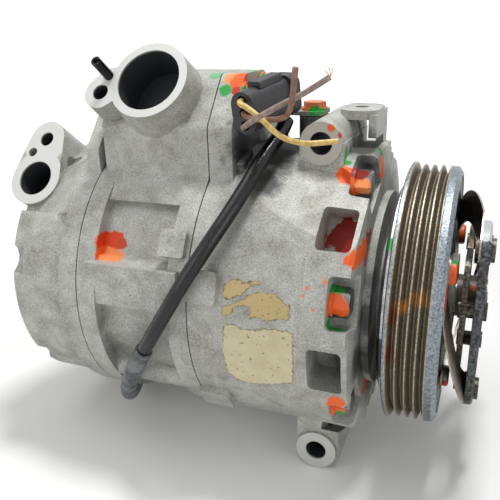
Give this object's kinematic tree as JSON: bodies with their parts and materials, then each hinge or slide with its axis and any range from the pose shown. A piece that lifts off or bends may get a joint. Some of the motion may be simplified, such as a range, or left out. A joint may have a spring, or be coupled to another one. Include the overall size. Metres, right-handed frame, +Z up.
{
  "type": "automotive ac compressor",
  "caption": "Swash-plate refrigerant compressor with cast housings, ported rear cover, magnetic clutch, grooved belt pulley, sensor connector and valve lead.",
  "frame": {"origin": "on the shaft axis, in the middle plane of the belt grooves", "axes": "+X along the shaft toward the clutch, +Z up through the upper mounting ear, -Y toward the ports"},
  "size_m": [0.2091, 0.1373, 0.1774],
  "materials": {
    "cast_aluminium": "as-cast, fine grain",
    "gasket_black": "matte",
    "bolt_steel": "zinc, worn",
    "black_steel": "phosphated",
    "plate_steel": "rolled",
    "shaft_steel": "ground",
    "swash_bronze": "turned",
    "piston_alloy": "turned",
    "coil_steel": "silver plating",
    "coil_potting": "matte",
    "pulley_steel": "worn, rust in the grooves",
    "hub_steel": "dark coating, worn",
    "painted_rivet": "orange paint mark",
    "spring_steel": "satin",
    "seal_rubber": "matte",
    "valve_brass": "satin",
    "connector_black": "moulded",
    "wire_yellow": "satin",
    "wire_brown": "satin",
    "wire_violet": "satin",
    "lead_black": "glossy"
  },
  "bodies": {
    "housing": {"front_housing": "cast_aluminium", "cylinder_block": "cast_aluminium", "rear_housing": "cast_aluminium", "front_gasket": "gasket_black", "rear_gasket": "gasket_black", "head_gasket": "gasket_black", "shaft_seal": "gasket_black", "through_bolts": "bolt_steel", "tower_bolts": "bolt_steel", "bracket_screw": "bolt_steel", "relief_valve": "bolt_steel", "port_pin": "black_steel", "seal_snap_ring": "black_steel", "coil_snap_ring": "black_steel", "bearing_snap_ring": "black_steel", "suction_reed_plate": "plate_steel", "valve_plate": "plate_steel", "discharge_reed_plate": "plate_steel", "connector_bracket": "plate_steel", "front_needle_cup": "shaft_steel", "rear_needle_cup": "shaft_steel", "bearing_inner_ring": "shaft_steel", "piston_shoes": "shaft_steel", "piston_1": "piston_alloy", "piston_2": "piston_alloy", "piston_3": "piston_alloy", "piston_4": "piston_alloy", "piston_5": "piston_alloy", "piston_6": "piston_alloy", "piston_7": "piston_alloy", "field_coil_shell": "coil_steel", "coil_winding": "coil_potting", "control_valve_body": "valve_brass", "connector_body": "connector_black", "yellow_wire": "wire_yellow", "brown_wire": "wire_brown", "violet_wire": "wire_violet", "valve_lead": "lead_black"},
    "shaft": {"drive_shaft": "shaft_steel", "lug_plate": "shaft_steel", "swash_plate": "swash_bronze", "return_spring": "shaft_steel", "hub": "hub_steel", "limiter_plate": "hub_steel", "hub_rivets": "hub_steel", "hub_screw": "bolt_steel", "leaf_springs": "spring_steel"},
    "pulley": {"pulley": "pulley_steel", "bearing_outer_ring": "shaft_steel", "bearing_seals": "seal_rubber"},
    "ball_row": {"bearing_balls": "shaft_steel"},
    "needle_rollers": {"front_needles": "shaft_steel", "rear_needles": "shaft_steel"},
    "thrust_rollers": {"front_thrust_bearing": "shaft_steel"},
    "armature": {"armature_plate": "pulley_steel", "armature_rivets": "painted_rivet"},
    "valve_plunger": {"control_valve_plunger": "valve_brass"}
  },
  "joints": [
    {"name": "shaft_spin", "type": "hinge", "parent": "housing", "child": "shaft", "pos_m": [0, 0, 0], "axis": [1, 0, 0], "continuous": true},
    {"name": "needle_spin", "type": "hinge", "parent": "housing", "child": "needle_rollers", "pos_m": [0, 0, 0], "axis": [1, 0, 0], "continuous": true},
    {"name": "thrust_spin", "type": "hinge", "parent": "housing", "child": "thrust_rollers", "pos_m": [0, 0, 0], "axis": [1, 0, 0], "continuous": true},
    {"name": "pulley_spin", "type": "hinge", "parent": "housing", "child": "pulley", "pos_m": [0, 0, 0], "axis": [1, 0, 0], "continuous": true},
    {"name": "ball_spin", "type": "hinge", "parent": "housing", "child": "ball_row", "pos_m": [0, 0, 0], "axis": [1, 0, 0], "continuous": true},
    {"name": "armature_slide", "type": "slide", "parent": "shaft", "child": "armature", "axis": [-1, 0, 0], "range_m": [0, 0.00045], "stiffness_N_per_m": 20000, "deforming": ["leaf_springs"]},
    {"name": "plunger_slide", "type": "slide", "parent": "housing", "child": "valve_plunger", "axis": [0, 0, 1], "range_m": [0, 0.0008], "stiffness_N_per_m": 2000}
  ],
  "couplings": [
    {"joint": "needle_spin", "follows": "shaft_spin", "ratio": 0.43},
    {"joint": "thrust_spin", "follows": "shaft_spin", "ratio": 0.5},
    {"joint": "ball_spin", "follows": "pulley_spin", "ratio": 0.564}
  ]
}
